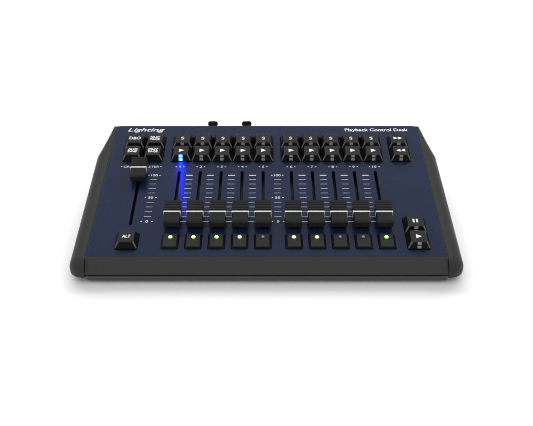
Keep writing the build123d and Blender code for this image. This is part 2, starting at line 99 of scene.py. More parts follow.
def map_range(nodes, links, value, low, high, from_low=0.3, from_high=0.7):
    mapped = nodes.new("ShaderNodeMapRange")
    mapped.inputs["From Min"].default_value = from_low
    mapped.inputs["From Max"].default_value = from_high
    mapped.inputs["To Min"].default_value = low
    mapped.inputs["To Max"].default_value = high
    links.new(value, mapped.inputs["Value"])
    return mapped.outputs["Result"]


def mix_colour(nodes, links, factor, one, other):
    """A colour between two, each given as a colour or as a socket."""
    mix = nodes.new("ShaderNodeMix")
    mix.data_type = "RGBA"
    links.new(factor, mix.inputs["Factor"])
    for socket, colour in (("A", one), ("B", other)):
        target = [s for s in mix.inputs if s.name == socket and s.type == "RGBA"][0]
        if isinstance(colour, bpy.types.NodeSocket):
            links.new(colour, target)
        else:
            target.default_value = (*colour, 1)
    return [s for s in mix.outputs if s.type == "RGBA"][0]


# How much of the grain shows in the colour
GRAIN_SHARE = 0.35
# Rubbed edges: the pointiness they lie between, and how much paler they are
WEAR_EDGES = (0.52, 0.60)
WEAR_GAIN = 2.2
WEAR_LIFT = 0.02


def finish(name, base, roughness, grain=4000, depth=0.00002, mottle=0.12, wear=0.0, specular=0.5,
           spread=0.06, patch=60, metallic=0.0, strength=0.35):
    """A moulded, painted or printed surface: grain in the bump, slow mottling in the colour
    and the roughness, and paler edges where hands and cloths rub."""
    material, nodes, links, shader = new_material(name)
    place = nodes.new("ShaderNodeTexCoord").outputs["Object"]
    slow = add_noise(nodes, links, place, patch, 4.0)
    fine = add_noise(nodes, links, place, grain, 2.0)
    dark = tuple(c * (1 - mottle) for c in base)
    light = tuple(min(1.0, c * (1 + mottle)) for c in base)
    colour = mix_colour(nodes, links, map_range(nodes, links, slow, 0, 1), dark, light)
    colour = mix_colour(nodes, links, map_range(nodes, links, fine, 0, GRAIN_SHARE), colour, light)
    if wear:
        edges = nodes.new("ShaderNodeNewGeometry").outputs["Pointiness"]
        worn = map_range(nodes, links, edges, 0, wear, *WEAR_EDGES)
        pale_edge = tuple(min(1.0, c * WEAR_GAIN + WEAR_LIFT) for c in base)
        colour = mix_colour(nodes, links, worn, colour, pale_edge)
    links.new(colour, shader.inputs["Base Color"])
    links.new(map_range(nodes, links, slow, roughness - spread, roughness + spread),
              shader.inputs["Roughness"])
    bump = nodes.new("ShaderNodeBump")
    bump.inputs["Strength"].default_value = strength
    bump.inputs["Distance"].default_value = depth
    links.new(fine, bump.inputs["Height"])
    links.new(bump.outputs["Normal"], shader.inputs["Normal"])
    shader.inputs["Specular IOR Level"].default_value = specular
    shader.inputs["Metallic"].default_value = metallic
    return material


def darken_inside(material, colour, v_from, v_to, below=99.0, above=-99.0):
    """Gives what lies between two places up the slope and two heights another colour."""
    nodes, links = material.node_tree.nodes, material.node_tree.links
    place = nodes.new("ShaderNodeTexCoord").outputs["Object"]

    def along(axis):
        product = nodes.new("ShaderNodeVectorMath")
        product.operation = "DOT_PRODUCT"
        product.inputs[1].default_value = axis / MM
        links.new(place, product.inputs[0])
        return product.outputs["Value"]

    def compare(value, operation, limit):
        test = nodes.new("ShaderNodeMath")
        test.operation = operation
        test.inputs[1].default_value = limit
        links.new(value, test.inputs[0])
        return test.outputs["Value"]

    def both(one, other):
        product = nodes.new("ShaderNodeMath")
        product.operation = "MULTIPLY"
        links.new(one, product.inputs[0])
        links.new(other, product.inputs[1])
        return product.outputs["Value"]

    v0, n0 = deck_origin.dot(slope) / MM, deck_origin.dot(normal) / MM
    inside = both(both(compare(along(normal), "LESS_THAN", n0 + below),
                       compare(along(normal), "GREATER_THAN", n0 + above)),
                  both(compare(along(slope), "GREATER_THAN", v0 + v_from),
                       compare(along(slope), "LESS_THAN", v0 + v_to)))
    socket = nodes["Principled BSDF"].inputs["Base Color"]
    links.new(mix_colour(nodes, links, inside, socket.links[0].from_socket, colour), socket)


def glowing(name, base, colour, strength):
    """A lit light guide or lens: an even glow with a faint cloudy texture."""
    material, nodes, links, shader = new_material(name)
    place = nodes.new("ShaderNodeTexCoord").outputs["Object"]
    cloud = add_noise(nodes, links, place, 900, 2.0)
    links.new(mix_colour(nodes, links, cloud, base, colour), shader.inputs["Base Color"])
    links.new(map_range(nodes, links, cloud, strength * 0.9, strength * 1.1),
              shader.inputs["Emission Strength"])
    shader.inputs["Emission Color"].default_value = (*colour, 1)
    shader.inputs["Roughness"].default_value = 0.25
    return material


OVERLAY = finish("overlay_film", (0.005, 0.012, 0.039), 0.27, grain=2600, depth=0.000003, mottle=0.06,
                 specular=0.335, patch=35, spread=0.03)
COVER = finish("cover_paint", (0.017, 0.017, 0.0165), 0.5, grain=1800, depth=0.00003, mottle=0.08,
               wear=0.25, specular=0.4)
TRAY = finish("tray_paint", (0.040, 0.040, 0.040), 0.5, grain=1800, depth=0.00003, mottle=0.08,
              wear=0.25, specular=0.4)
CHEEK = finish("cheek_plastic", (0.021, 0.021, 0.021), 0.55, grain=1300, depth=0.00007, mottle=0.1,
               wear=0.12, specular=0.32, strength=0.6)
KEYCAP = finish("keycap_plastic", (0.011, 0.011, 0.0105), 0.42, grain=3800, depth=0.00002, mottle=0.1,
                wear=0.5, specular=0.4)
# The keys' sides are smoother than their grained crowns, and painted darker as shade
PAINTED_SIDE_SHADE = finish("keycap_side_painted_shade", (0.0045, 0.0045, 0.0045), 0.3, grain=2600, depth=0.00001, mottle=0.1,
                  specular=0.14)
# A painted highlight: a much paler copy of the plastic down the keys' corners that face the user
PAINTED_EDGE_HIGHLIGHT = finish("keycap_edge_painted_highlight", (0.105, 0.105, 0.10), 0.35, grain=2600, depth=0.00001, mottle=0.1,
                  specular=0.5)
KNOB = finish("fader_plastic", (0.008, 0.008, 0.008), 0.45, grain=3800, depth=0.00002, mottle=0.1,
              wear=0.25, specular=0.34)
BUTTON = finish("button_plastic", (0.011, 0.011, 0.011), 0.42, grain=3600, depth=0.00002, mottle=0.1,
                wear=0.4, specular=0.4)
CONNECTOR = finish("connector_nylon", (0.0015, 0.0015, 0.0018), 0.5, grain=3000, depth=0.00002,
                   mottle=0.1, specular=0.06)
RUBBER = finish("foot_rubber", (0.018, 0.018, 0.018), 0.8, grain=2200, depth=0.00005, mottle=0.15,
                specular=0.3)
SCREW = finish("screw_zinc", (0.10, 0.10, 0.10), 0.35, grain=2600, depth=0.00001, mottle=0.1, wear=0.6,
               metallic=0.9)
BOARD = finish("circuit_board", (0.006, 0.03, 0.014), 0.4, grain=1500, depth=0.00003, mottle=0.3,
               patch=200)
PRINT = finish("white_print", (0.72, 0.73, 0.74), 0.5, grain=3000, depth=0.00001, mottle=0.04,
               specular=0.3)
GUIDE = finish("light_guide", (0.27, 0.27, 0.265), 0.25, grain=1500, depth=0.00002, mottle=0.2,
               specular=0.5)
INLAY = finish("knob_inlay", (0.72, 0.72, 0.71), 0.45, grain=3000, depth=0.00001, mottle=0.04,
               specular=0.3)
LENS_OFF = finish("lens_off", (0.26, 0.26, 0.25), 0.3, grain=1500, depth=0.00001)
LENS_ON = glowing("lens_lit", (0.85, 1.0, 0.55), (0.75, 1.0, 0.42), 2.2)
LENS_RIM = glowing("lens_rim", (0.2, 0.6, 0.04), (0.28, 0.8, 0.05), 0.75)
GUIDE_LIT = glowing("guide_lit", (0.4, 0.9, 1.0), (0.16, 0.72, 1.0), 2.6)
GUIDE_HALO = glowing("guide_halo", (0.0, 0.05, 0.6), (0.0, 0.06, 1.0), 1.2)

# Painted shade: the unlit surfaces inside the desk, the cover's inner faces and what stands on the board,
# are given a near-black colour
INSIDE_SHADE = (0.003, 0.003, 0.003)
INSIDE_FRONT = 2.0
COVER_FACE = -0.3
COVER_REAR = PANEL_LENGTH - 1.2
BOARD_FACE = -10.4
BOARD_REAR = PANEL_LENGTH - 3
darken_inside(COVER, INSIDE_SHADE, INSIDE_FRONT, COVER_REAR, below=COVER_FACE)
darken_inside(BOARD, INSIDE_SHADE, INSIDE_FRONT, BOARD_REAR, above=BOARD_FACE)


# ---------------------------------------------------------------- building pieces

def make_piece(name, bm, body, material, smooth=True, angle=35):
    """Turns a mesh drawn in deck coordinates into a piece that rides on a body."""
    mesh = bpy.data.meshes.new(name)
    bmesh.ops.recalc_face_normals(bm, faces=bm.faces)
    bm.to_mesh(mesh)
    bm.free()
    mesh.transform(DECK)
    piece = bpy.data.objects.new(name, mesh)
    bpy.context.scene.collection.objects.link(piece)
    for entry in material if isinstance(material, (list, tuple)) else (material,):
        mesh.materials.append(entry)
    if smooth:
        mesh.shade_smooth()
        mesh.set_sharp_from_angle(angle=math.radians(angle))
    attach(piece, body)
    return piece


def rounded_rectangle(width, length, radius, steps=5):
    """Points round a rectangle with round corners, centred on zero."""
    points = []
    for quarter, (sx, sy) in enumerate(((1, 1), (-1, 1), (-1, -1), (1, -1))):
        for i in range(steps + 1):
            turn = math.radians(90 * (quarter + i / steps))
            points.append((sx * (width / 2 - radius) + radius * math.cos(turn),
                           sy * (length / 2 - radius) + radius * math.sin(turn)))
    return points


def loft_rings(bm, rings, close_first=True, close_last=True):
    """Joins rings of equal length, given as lists of 3-D points, and caps the ends."""
    made = [[bm.verts.new(point) for point in ring] for ring in rings]
    count = len(made[0])
    for lower, upper in zip(made, made[1:]):
        for i in range(count):
            j = (i + 1) % count
            bm.faces.new((lower[i], lower[j], upper[j], upper[i]))
    if close_first:
        bm.faces.new(list(reversed(made[0])))
    if close_last:
        bm.faces.new(made[-1])
    return made


def prism(bm, outline, low, high):
    """Extrudes a flat outline between two heights."""
    loft_rings(bm, [[(x, v, low) for x, v in outline], [(x, v, high) for x, v in outline]])


# ---------------------------------------------------------------- lettering

# The height of the font's capitals as a share of its size
CAPITAL_SHARE = 0.69
CURVE_STEPS = 4
DOT_SIDES = 16


def text_mesh(text, size, width=1.0, across=None, slant=0.0, weight=0.0, spacing=1.0):
    """Flat lettering as (vertices, faces), centred on zero, its capitals size mm tall, and
    across mm wide where that is given."""
    curve = bpy.data.curves.new("lettering", "FONT")
    curve.body = text
    curve.align_x = "CENTER"
    curve.align_y = "CENTER"
    curve.size = size / CAPITAL_SHARE
    curve.offset = weight
    curve.shear = slant
    curve.space_character = spacing
    curve.resolution_u = CURVE_STEPS
    holder = bpy.data.objects.new("lettering", curve)
    bpy.context.scene.collection.objects.link(holder)
    bpy.context.view_layer.update()
    mesh = bpy.data.meshes.new_from_object(holder.evaluated_get(bpy.context.evaluated_depsgraph_get()))
    if across:
        width = across / (max(v.co.x for v in mesh.vertices) - min(v.co.x for v in mesh.vertices))
    points = [Vector((v.co.x * width, v.co.y, 0)) for v in mesh.vertices]
    faces = [list(p.vertices) for p in mesh.polygons]
    bpy.data.objects.remove(holder)
    bpy.data.curves.remove(curve)
    bpy.data.meshes.remove(mesh)
    low = [min(p[i] for p in points) for i in range(2)]
    high = [max(p[i] for p in points) for i in range(2)]
    middle = Vector(((low[0] + high[0]) / 2, (low[1] + high[1]) / 2, 0))
    return [p - middle for p in points], faces


def add_flat(bm, points, faces, x, v, n):
    made = [bm.verts.new((p[0] + x, p[1] + v, n)) for p in points]
    for face in faces:
        bm.faces.new([made[i] for i in face])


def add_text(bm, text, x, v, n, size, **style):
    points, faces = text_mesh(text, size, **style)
    add_flat(bm, points, faces, x, v, n)


def add_polygon(bm, points, x, v, n):
    add_flat(bm, points, [list(range(len(points)))], x, v, n)


def add_dot(bm, x, v, n, radius):
    turns = [2 * math.pi * i / DOT_SIDES for i in range(DOT_SIDES)]
    add_polygon(bm, [(radius * math.cos(turn), radius * math.sin(turn)) for turn in turns], x, v, n)


def bar(width, height):
    return [(-width / 2, -height / 2), (width / 2, -height / 2), (width / 2, height / 2),
            (-width / 2, height / 2)]


def thicken(bm, depth):
    """Gives flat lettering a real thickness, downwards."""
    made = bmesh.ops.extrude_face_region(bm, geom=list(bm.faces))
    moved = [e for e in made["geom"] if isinstance(e, bmesh.types.BMVert)]
    bmesh.ops.translate(bm, verts=moved, vec=(0, 0, -depth))


# ---------------------------------------------------------------- the printed overlay

KEY_PITCH = 19.05
FILM = 0.12
FILM_LIFT = 0.01
FILM_EDGE = 0.5
FILM_FRONT, FILM_REAR = 0.9, 181.5
FILM_CORNER = 0.8
# Openings as width, length and corner radius
SLOT_OPENING = (2.75, 73.3, 1.37)
SLOT_SHIFT = 0.5
BUTTON_OPENING = (14.5, 18.0, 0.6)
BANK_MARGIN = 0.2
BANK_CORNER = 0.9

INK = 0.06
PRINT_TOP = FILM + FILM_LIFT + INK
TICK_WIDTH = 6.1
TICK, END_TICK = 0.27, 0.8
# How far the scale's ends lie from the knobs' middles at zero and at full
ZERO_SHIFT, FULL_SHIFT = -1.3, 1.0
NAME_RISE = 12.5
LETTER_WIDTH = 1.15
NUMBER_SIZE, NAME_SIZE, SCALE_SIZE = 2.9, 2.6, 2.8
NAME_SPACING = 1.02
DOT_RADIUS = 0.55
# The distance from the middle of a number or name to the dots beside it
NUMBER_REACH, LAST_NUMBER_REACH = 3.4, 4.4
NAME_REACH = 18
SCALE_REACH = {0: 4.6, 5: 4.6, 10: 5.0}
MASTER_SCALE_SHIFT = 13.35
WIDEST_PAIR = 25
TITLE_ROW = 174.6
LEFT_TITLE = {"x": -116.5, "size": 5.4, "across": 35.5, "weight": 0.05, "slant": 0.3}
RIGHT_TITLE = {"x": 106.5, "size": 4.3, "across": 61, "weight": 0.09}

playback_x = [centre(f"fader_{i}")[0] for i in range(1, FADER_COUNT + 1)]
master_x = centre("master_fader")[0]


def opening_outlines():
    """Every opening that the film leaves free, as outlines on the deck."""
    outlines = []
    low_row, high_row = centre("go_key_1")[1], centre("select_key_1")[1]
    middle = (low_row + high_row) / 2
    slot_middle = (centre("fader_1")[1] + centre("master_fader")[1]) / 2 + SLOT_SHIFT
    for x in [master_x] + playback_x:
        outline = rounded_rectangle(*SLOT_OPENING, 6)
        outlines.append([(px + x, pv + slot_middle) for px, pv in outline])
    for i, x in enumerate(playback_x, start=1):
        row = centre(f"flash_button_{i}")[1]
        outline = rounded_rectangle(*BUTTON_OPENING, 4)
        outlines.append([(px + x, pv + row) for px, pv in outline])
    # Banks of keys: the middle, the columns and the rows
    left_bank = (playback_x[0] + playback_x[4]) / 2
    right_bank = (playback_x[5] + playback_x[9]) / 2
    left = (centre("key_blackout")[0] + centre("key_next")[0]) / 2
    right, front_row = centre("key_go")
    second_row = centre("key_pause")[1]
    banks = [(left_bank, middle, 5, 2), (right_bank, middle, 5, 2), (left, middle, 2, 2),
             (right, middle, 1, 2), (right, (front_row + second_row) / 2, 1, 2),
             (*centre("key_alt"), 1, 1)]
    for x, v, columns, rows in banks:
        outline = rounded_rectangle(columns * KEY_PITCH + BANK_MARGIN, rows * KEY_PITCH + BANK_MARGIN,
                                    BANK_CORNER, 4)
        outlines.append([(px + x, pv + v) for px, pv in outline])
    return outlines


def make_overlay():
    """The printed film: one filled curve with the openings cut out of it."""
    curve = bpy.data.curves.new("film", "CURVE")
    curve.dimensions = "2D"
    curve.fill_mode = "BOTH"
    curve.extrude = FILM / 2
    half_width = deck_box("top_cover")[1].x - FILM_EDGE
    border = [(px, pv + (FILM_FRONT + FILM_REAR) / 2) for px, pv in
              rounded_rectangle(2 * half_width, FILM_REAR - FILM_FRONT, FILM_CORNER, 4)]
    for outline in [border] + opening_outlines():
        spline = curve.splines.new("POLY")
        spline.points.add(len(outline) - 1)
        spline.use_cyclic_u = True
        for point, (x, v) in zip(spline.points, outline):
            point.co = (x, v, 0, 1)
    holder = bpy.data.objects.new("film", curve)
    bpy.context.scene.collection.objects.link(holder)
    bpy.context.view_layer.update()
    mesh = bpy.data.meshes.new_from_object(holder.evaluated_get(bpy.context.evaluated_depsgraph_get()))
    bpy.data.objects.remove(holder)
    bm = bmesh.new()
    bm.from_mesh(mesh)
    bmesh.ops.remove_doubles(bm, verts=bm.verts, dist=0.001)
    bmesh.ops.translate(bm, verts=bm.verts, vec=(0, 0, FILM / 2 + FILM_LIFT))
    make_piece("panel_overlay", bm, "desk", OVERLAY, smooth=False)


def add_dotted(bm, text, x, v, size, reach, spacing=1.0):
    """Printed lettering with a dot on each side of it."""
    add_text(bm, text, x, v, PRINT_TOP, size, width=LETTER_WIDTH, spacing=spacing)
    for side in (-1, 1):
        add_dot(bm, x + side * reach, v, PRINT_TOP, DOT_RADIUS)


def make_legends():
    """White print: numbers, scales, the master's name and two plain titles at the rear."""
    bm = bmesh.new()
    zero = centre("fader_1")[1] + ZERO_SHIFT
    full = centre("master_fader")[1] + FULL_SHIFT
    name_row = full + NAME_RISE
    for i, x in enumerate(playback_x, start=1):
        reach = NUMBER_REACH if i < FADER_COUNT else LAST_NUMBER_REACH
        add_dotted(bm, str(i), x, name_row, NUMBER_SIZE, reach)
    add_dotted(bm, "GRAND MASTER", master_x, name_row, NAME_SIZE, NAME_REACH, NAME_SPACING)
    # Scales: labelled beside the master and in the gap, plain between neighbours
    labelled = [master_x + MASTER_SCALE_SHIFT, (playback_x[4] + playback_x[5]) / 2]
    plain = [(a + b) / 2 for a, b in zip(playback_x, playback_x[1:]) if b - a < WIDEST_PAIR]
    for tick in range(11):
        row = zero + (full - zero) * tick / 10
        height = END_TICK if tick in (0, 10) else TICK
        for x in plain:
            add_polygon(bm, bar(TICK_WIDTH, height), x, row, PRINT_TOP)
        for x in labelled:
            if tick in SCALE_REACH:
                add_dotted(bm, str(tick * 10), x, row, SCALE_SIZE, SCALE_REACH[tick])
            else:
                add_polygon(bm, bar(TICK_WIDTH, TICK), x, row, PRINT_TOP)
    add_text(bm, "Lighting", v=TITLE_ROW, n=PRINT_TOP, **LEFT_TITLE)
    add_text(bm, "Playback Control Desk", v=TITLE_ROW, n=PRINT_TOP, **RIGHT_TITLE)
    thicken(bm, INK)
    make_piece("panel_legends", bm, "desk", PRINT, smooth=False)


# ---------------------------------------------------------------- keycaps

CAP_BASE = 18.2
CAP_REST = 0.7
CAP_TOP = 6.4
CROWN = (13.0, 13.7)
CROWN_SHIFT = 0.3
CROWN_CORNER = 1.5
DISH = 0.5
CAP_WALL = 1.5
# The hollow under the cap: its ceiling's share of the taper, and its corner
HOLLOW_SHARE = 0.85
HOLLOW_ROUND = 0.6
HOLLOW_CORNER = 0.8
# The cap's foot from the hollow outwards: the corner, and how much wider than the skirt it is
FOOT_STEPS = ((0.9, 0.5 - 2 * CAP_WALL), (1.1, -0.3))
FOOT_BEVEL = 0.3
# The sloping walls: the rounding at their foot, and how far they go before the crown's edge
SKIRT_CORNER = 1.0
SKIRT_ROUND = 0.15
WALL_STEPS = 6
WALL_SHARE = 0.94
WALL_LOSS = 0.75
# The crown's round edge: how much wider than the crown it is, and how far below the top
CROWN_EDGE = ((0.05, 0.40), (-0.35, 0.18), (-0.8, 0.06), (-1.5, 0.0))
EDGE_FLATNESS = 1.6
DISH_STEPS = (-3.0, -5.0, -7.5, -10.0)
DISH_CORNER = 0.4

LEGEND_DEPTH = 0.1
LEGEND_WEIGHT = 0.11
LINE_SPACING = 1.3
# Words on keys: the lines, the height of their capitals and their width
SELECT_WORD = (("S",), 3.9, 2.8)
KEY_WORDS = {"key_blackout": (("DBO",), 3.9, 10.6), "key_next": (("NEXT", "PAGE"), 2.6, 8.8),
             "key_add": (("ADD", "SWAP"), 2.6, 8.8), "key_prev": (("PREV", "PAGE"), 2.6, 8.8),
             "key_alt": (("ALT",), 3.1, 6.9)}
# Symbols on keys, as width and height, and how far they stand from the middle
GO_ARROW, GO_SHIFT = (4.7, 4.8), 0.4
SKIP_ARROW, SKIP_SPREAD = (4.1, 4.0), 2.1
PAUSE_BAR, PAUSE_SPREAD = (1.5, 4.2), 1.4

LIT_KEY = "go_key_1"
GUIDE_WIDTH = 3.1
# The two windows of a light guide, as shares of the way up the front face
LIT_WINDOWS = ((0.05, 0.42), (0.58, 0.97))
DARK_WINDOWS = ((0.07, 0.40), (0.58, 0.95))
# Steps outwards of a window and of the bed round it: the inset, and how far out it stands
WINDOW_STEPS = ((0, -0.4), (0, 0.12), (0.18, 0.25))
BED_STEPS = ((0, -0.5), (0, 0.08))
BED_TOP = 0.99
LIT_BED_MARGIN, DARK_BED_MARGIN = 0.45, 0.2
FACE_LENGTH = 10
FACE_LOSS = 0.45


def dish_drop(px):
    """How far the crown is hollowed at a distance across it."""
    return DISH * (1 - min(1.0, abs(px) / (CROWN[0] / 2)) ** 2)


def cap_ring(share, height, x, v, radius, grow=0.0, dished=0.0):
    """A level ring of the cap: share 0 is the skirt and 1 the crown."""
    width = CAP_BASE + (CROWN[0] - CAP_BASE) * share + grow
    length = CAP_BASE + (CROWN[1] - CAP_BASE) * share + grow
    shift = CROWN_SHIFT * share
    return [(x + px, v + pv + shift, height - dished * dish_drop(px))
            for px, pv in rounded_rectangle(width, length, radius, 5)]


def finish_walls(bm, rings, highlit_edges=True):
    """Gives the walls between some rings painted shade, a darker copy of the plastic, with a paler painted
    highlight down each corner that faces the user."""
    count = len(rings[0])
    corner = count // 4
    places = {ring[i]: i for ring in rings for i in range(count)}
    for face in bm.faces:
        if not all(vert in places for vert in face.verts):
            continue
        around = sorted(places[vert] for vert in face.verts)
        first = around[0] if around[-1] - around[0] < count / 2 else around[-1]
        side, step = divmod(first, corner)
        # Painted highlight on the corners that face the user, painted shade on the rest of the walls
        pale_edge = highlit_edges and side in (2, 3) and 1 <= step < corner - 2
        face.material_index = 2 if pale_edge else 1


def make_keycap(name, x, v):
    """A hollow cap with sloping walls and a dished crown, lofted from the inside out."""
    inner = -2 * CAP_WALL
    rings = [cap_ring(HOLLOW_SHARE, CAP_TOP - CAP_WALL - HOLLOW_ROUND, x, v, HOLLOW_CORNER, inner),
             cap_ring(0, CAP_REST + FOOT_BEVEL, x, v, HOLLOW_CORNER, inner)]
    rings += [cap_ring(0, CAP_REST, x, v, corner, grow) for corner, grow in FOOT_STEPS]
    outside = len(rings) - 1
    for i in range(WALL_STEPS + 1):
        height = CAP_REST + SKIRT_ROUND + (CAP_TOP - CAP_REST - WALL_LOSS) * i / WALL_STEPS
        corner = SKIRT_CORNER + (CROWN_CORNER - SKIRT_CORNER) * i / WALL_STEPS
        rings.append(cap_ring(WALL_SHARE * i / WALL_STEPS, height, x, v, corner))
    wall_end = len(rings)
    for grow, drop in CROWN_EDGE:
        rings.append(cap_ring(1.0, CAP_TOP - drop, x, v, CROWN_CORNER, grow, 1.0 - drop * EDGE_FLATNESS))
    for grow in DISH_STEPS:
        corner = max(DISH_CORNER, CROWN_CORNER + grow / 9)
        rings.append(cap_ring(1.0, CAP_TOP, x, v, corner, grow, dished=1.0))
    bm = bmesh.new()
    made = loft_rings(bm, rings)
    # The walls take painted shade and their front corners a painted highlight
    finish_walls(bm, made[outside:wall_end])
    piece = make_piece(f"{name}_cap", bm, name, (KEYCAP, PAINTED_SIDE_SHADE, PAINTED_EDGE_HIGHLIGHT), angle=50)
    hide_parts(name)


def crown_point(x, v, px, pv, lift=0.03):
    """A point on the crown's hollow surface."""
    return (x + px, v + CROWN_SHIFT + pv, CAP_TOP - dish_drop(px) + lift)


def add_crown_shape(bm, x, v, points, faces):
    """Lays a flat shape on the hollow crown."""
    made = [bm.verts.new(crown_point(x, v, p[0], p[1])) for p in points]
    for face in faces:
        bm.faces.new([made[i] for i in face])


def triangle(width, height, towards=1):
    return [(-towards * width / 2, -height / 2), (towards * width / 2, 0),
            (-towards * width / 2, height / 2)]


def shifted(points, dx, dy=0.0):
    return [(p[0] + dx, p[1] + dy) for p in points]


def word_shapes(lines, size, across):
    """One or two lines of lettering as flat shapes."""
    shapes = []
    for i, line in enumerate(lines):
        points, faces = text_mesh(line, size, across=across, weight=LEGEND_WEIGHT)
        rise = ((len(lines) - 1) / 2 - i) * size * LINE_SPACING
        shapes.append((shifted(points, 0, rise), faces))
    return shapes


def symbol_outlines(name):
    """The outlines of a key's symbol: two bars, two arrows or one arrow."""
    if name == "key_pause":
        return [shifted(bar(*PAUSE_BAR), side * PAUSE_SPREAD) for side in (-1, 1)]
    if name in ("key_forward", "key_back"):
        arrow = triangle(*SKIP_ARROW, towards=1 if name == "key_forward" else -1)
        return [shifted(arrow, side * SKIP_SPREAD) for side in (-1, 1)]
    return [shifted(triangle(*GO_ARROW), GO_SHIFT)]


def key_shapes(name):
    """The legend of a key, as flat shapes on its crown."""
    if name.startswith("select_key"):
        return word_shapes(*SELECT_WORD)
    if name in KEY_WORDS:
        return word_shapes(*KEY_WORDS[name])
    return [(outline, [list(range(len(outline)))]) for outline in symbol_outlines(name)]


def make_key_legend(name, x, v):
    bm = bmesh.new()
    for points, faces in key_shapes(name):
        add_crown_shape(bm, x, v, points, faces)
    thicken(bm, LEGEND_DEPTH)
    make_piece(f"{name}_legend", bm, name, PRINT, smooth=False)


def front_point(x, v, px, share, out=0.0):
    """A point on the cap's front face: share 0 at the skirt and 1 at the crown's edge."""
    skirt, crown = v - CAP_BASE / 2, v + CROWN_SHIFT - CROWN[1] / 2
    return (x + px, skirt + (crown - skirt) * share - out,
            CAP_REST + SKIRT_ROUND + (CAP_TOP - CAP_REST - FACE_LOSS) * share)


def add_face_block(bm, x, v, width, low, high, steps):
    """A block set into the front face between two shares of its height."""
    rings = []
    for inset, out in steps:
        half = width / 2 - inset
        bottom, top = low + inset / FACE_LENGTH, high - inset / FACE_LENGTH
        rings.append([front_point(x, v, px, share, out) for px, share in
                      ((-half, bottom), (half, bottom), (half, top), (-half, top))])
    loft_rings(bm, rings)


def make_light_guide(name, x, v, lit):
    """A clear strip down the front face, in two windows with a bar between them."""
    bm = bmesh.new()
    for low, high in LIT_WINDOWS if lit else DARK_WINDOWS:
        add_face_block(bm, x, v, GUIDE_WIDTH, low, high, WINDOW_STEPS)
    material, slot = (GUIDE_LIT, "blue_light") if lit else (GUIDE, "light_pipe")
    make_piece(f"{name}_guide", bm, name, material, smooth=False)
    bm = bmesh.new()
    margin = LIT_BED_MARGIN if lit else DARK_BED_MARGIN
    add_face_block(bm, x, v, GUIDE_WIDTH + 2 * margin, 0.0, BED_TOP, BED_STEPS)
    material, slot = (GUIDE_HALO, "blue_light") if lit else (BUTTON, "keycap_plastic")
    make_piece(f"{name}_guide_bed", bm, name, material, smooth=False)


def make_keys():
    """Every key's cap and legend, and a light guide where the legend is a symbol or a letter."""
    keys = [n for n in frame["nodes"] if n.startswith(("key_", "select_key", "go_key"))]
    for name in sorted(keys):
        x, v = centre(name)[0], deck_box(name)[0].y + CAP_BASE / 2
        make_keycap(name, x, v)
        make_key_legend(name, x, v)
        if name not in KEY_WORDS:
            make_light_guide(name, x, v, name == LIT_KEY)


# ---------------------------------------------------------------- fader knobs

KNOB_WIDTH = 13.6
KNOB_HALF = 11.0
KNOB_UNDER = 2.8
NOSE_RADIUS = 2.7
NOSE_TOP = 9.6
NOSE_STEPS = 10
SADDLE_RADIUS = 41.1
SADDLE_STEP, SADDLE_STEPS = 0.8, 11
BACK_EDGE = 0.8
BACK_ROUND, BACK_BULGE = 0.1, 0.15
RIB_START, RIB_PITCH, RIB_COUNT = 1.8, 2.25, 4
RIB_GROOVE, RIB_DEPTH = 0.5, 0.45
RIB_ROUND, RIB_TAPER = 0.12, 0.6
# The flanks: rounded edges as distance inwards and loss of outline, and a hollow for the fingers
FLANK_ROUND = ((0, 0.45), (0.1, 0.2), (0.3, 0.05), (0.5, 0.0))
KNOB_MIDDLE, KNOB_HALF_HEIGHT = 7.0, 5.5
WAIST = 0.6
WAIST_FROM, WAIST_TO = -9.6, 0.4
# The lever as width, length and corner radius
LEVER = (1.2, 8, 0.4)
LEVER_END = -6.9
LEVER_OVERLAP = 0.1
INSERT_WIDTH = 14.5
INSERT_LENGTH = 1.3
INSERT_FOOT = 3.9
INSERT_PROUD = 0.1
INSERT_BEVEL = 0.12
INSERT_ROUND, INSERT_CORNER = 0.45, 0.13
INSERT_WALL, INSERT_BRIDGE = 0.9, 0.6


def saddle(along):
    """The height of the knob's saddle at a distance up the slope from its middle."""
    from_nose = along + KNOB_HALF - NOSE_RADIUS
    return NOSE_TOP + SADDLE_RADIUS - math.sqrt(SADDLE_RADIUS**2 - from_nose**2)


def knob_profile():
    """The knob's outline as (v, n): round nose, rising saddle with ribs, high back edge."""
    points = [(-KNOB_HALF, KNOB_UNDER)]
    for i in range(NOSE_STEPS + 1):
        turn = math.pi - math.pi / 2 * i / NOSE_STEPS
        points.append((-KNOB_HALF + NOSE_RADIUS * (1 + math.cos(turn)),
                       NOSE_TOP - NOSE_RADIUS * (1 - math.sin(turn))))
    # Stations along the saddle, each with its depth below it: smooth in front, grooved behind
    stations = [(-KNOB_HALF + NOSE_RADIUS + SADDLE_STEP * i, 0) for i in range(1, SADDLE_STEPS + 1)]
    groove = RIB_GROOVE / 2
    for i in range(RIB_COUNT):
        middle = RIB_START + RIB_PITCH * i
        stations += [(middle - groove - RIB_ROUND, 0), (middle - groove, RIB_ROUND),
                     (middle - groove * RIB_TAPER, RIB_DEPTH), (middle + groove * RIB_TAPER, RIB_DEPTH),
                     (middle + groove, RIB_ROUND), (middle + groove + RIB_ROUND, 0),
                     (middle + RIB_PITCH / 2, 0)]
    points += [(along, saddle(along) - depth) for along, depth in stations]
    back = KNOB_HALF - BACK_EDGE
    crest = saddle(back)
    points += [(back - BACK_ROUND, saddle(back - BACK_ROUND)), (back + BACK_BULGE, crest - BACK_ROUND / 2),
               (KNOB_HALF - BACK_ROUND, crest - BACK_EDGE + BACK_BULGE), (KNOB_HALF, crest - BACK_EDGE),
               (KNOB_HALF, KNOB_UNDER)]
    return points


def narrowed(along):
    """The share of the half width left where the flanks are hollowed for the fingers."""
    place = (along - WAIST_FROM) / (WAIST_TO - WAIST_FROM)
    hollow = math.sin(math.pi * place) if 0 < place < 1 else 0.0
    return 1 - WAIST / (KNOB_WIDTH / 2) * hollow


